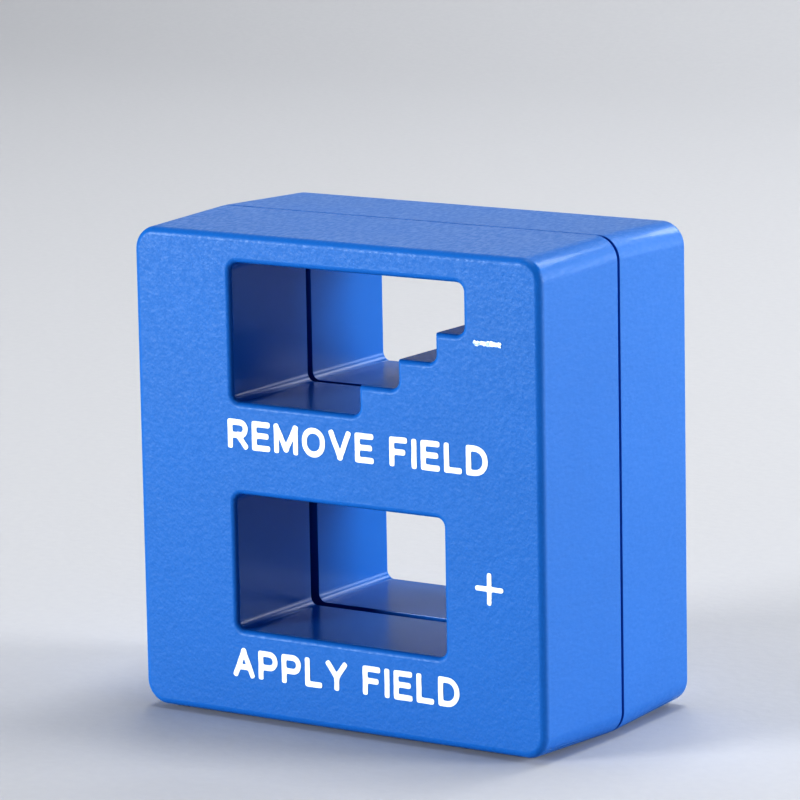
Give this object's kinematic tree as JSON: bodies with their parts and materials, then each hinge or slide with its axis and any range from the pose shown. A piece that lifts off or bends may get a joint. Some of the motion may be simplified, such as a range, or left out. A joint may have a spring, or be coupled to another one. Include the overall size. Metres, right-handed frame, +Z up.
{
  "type": "screwdriver magnetizer and demagnetizer block",
  "caption": "Rectangular plastic block with a plain window that magnetizes small tools and a stepped window that demagnetizes them, with ferrite magnets inside.",
  "frame": {"origin": "on the ground, under the middle of the block, at the middle of its width and on the parting line", "axes": "+X to the right seen from the printed front face, +Y into the depth from the front face to the rear face, +Z up"},
  "size_m": [0.05, 0.028, 0.051],
  "materials": {
    "blue_abs": "moulded, fine spark-eroded grain outside, smooth in the windows",
    "white_ink": "pad-printed satin ink film",
    "ferrite": "sintered, ground faces",
    "glue": "cured hot-melt adhesive"
  },
  "bodies": {
    "root": {"front_shell": "blue_abs", "rear_shell": "blue_abs", "lower_magnet": "ferrite", "middle_magnet": "ferrite", "lower_magnet_glue": "glue", "middle_magnet_glue": "glue", "upper_legend": "white_ink", "lower_legend": "white_ink", "minus_mark": "white_ink", "plus_mark": "white_ink"}
  },
  "joints": []
}
